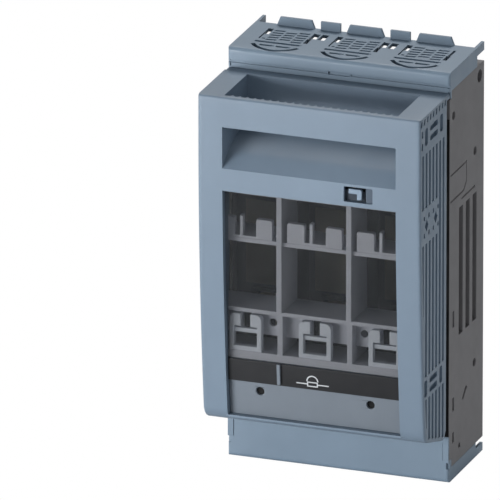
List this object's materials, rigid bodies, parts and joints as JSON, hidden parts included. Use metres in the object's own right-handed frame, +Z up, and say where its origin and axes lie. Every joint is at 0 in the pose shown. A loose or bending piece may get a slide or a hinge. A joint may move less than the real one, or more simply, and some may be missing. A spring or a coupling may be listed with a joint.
{
  "type": "fuse switch disconnector",
  "caption": "Plate-mounted fuse switch disconnector with a hinged fuse carrier, finger-recess handle, clear window and break-out terminal covers.",
  "frame": {"origin": "middle of the four fixing holes, on the mounting face", "axes": "+X across the poles to the right as seen from the front, +Y out of the back into the mounting plate, +Z up"},
  "size_m": [0.106, 0.0859, 0.2005],
  "materials": {
    "housing_plastic": "dark grey glass-filled moulding, fine spark texture",
    "shroud_plastic": "near-black moulding",
    "cover_plastic": "blue-grey moulding, fine matt texture",
    "carrier_plastic": "blue-grey moulding, satin",
    "panel_plastic": "mid grey moulding",
    "holder_plastic": "light grey moulding",
    "slider_plastic": "pale grey moulding",
    "label_black": "black strip",
    "window_clear": "smoked clear moulding",
    "contact_copper": "silvered copper",
    "zinc_steel": "zinc plated",
    "spring_steel": "blued spring steel",
    "splitter_steel": "plain steel sheet",
    "chute_board": "insulating board"
  },
  "bodies": {
    "base": {"base_housing": "housing_plastic", "contact_shroud": "shroud_plastic", "top_terminal_cover": "cover_plastic", "bottom_terminal_cover": "cover_plastic", "hinge_pin_left": "zinc_steel", "hinge_pin_right": "zinc_steel", "upper_contact_1": "contact_copper", "upper_contact_2": "contact_copper", "upper_contact_3": "contact_copper", "upper_contact_springs": "spring_steel", "upper_terminal_bolts": "zinc_steel", "upper_terminal_washers": "zinc_steel", "lower_contact_1": "contact_copper", "lower_contact_2": "contact_copper", "lower_contact_3": "contact_copper", "lower_contact_springs": "spring_steel", "lower_terminal_bolts": "zinc_steel", "lower_terminal_washers": "zinc_steel", "arc_chute_1": "chute_board", "splitter_plates_1": "splitter_steel", "arc_chute_2": "chute_board", "splitter_plates_2": "splitter_steel", "arc_chute_3": "chute_board", "splitter_plates_3": "splitter_steel"},
    "carrier": {"carrier_frame": "carrier_plastic", "window_pane": "window_clear", "lower_panel": "panel_plastic", "label_strip": "label_black", "fuse_holder": "holder_plastic", "lower_gripper_1": "holder_plastic", "upper_gripper_1": "holder_plastic", "lower_gripper_2": "holder_plastic", "upper_gripper_2": "holder_plastic", "lower_gripper_3": "holder_plastic", "upper_gripper_3": "holder_plastic", "lock_stop": "slider_plastic"},
    "lock_slider": {"lock_slider": "slider_plastic"}
  },
  "joints": [
    {"name": "carrier_hinge", "type": "hinge", "parent": "base", "child": "carrier", "pos_m": [0, -0.055, -0.07025], "axis": [1, 0, 0], "range_deg": [0, 75]},
    {"name": "lock_slide", "type": "slide", "parent": "carrier", "child": "lock_slider", "axis": [1, 0, 0], "range_m": [0, 0.0018]}
  ]
}
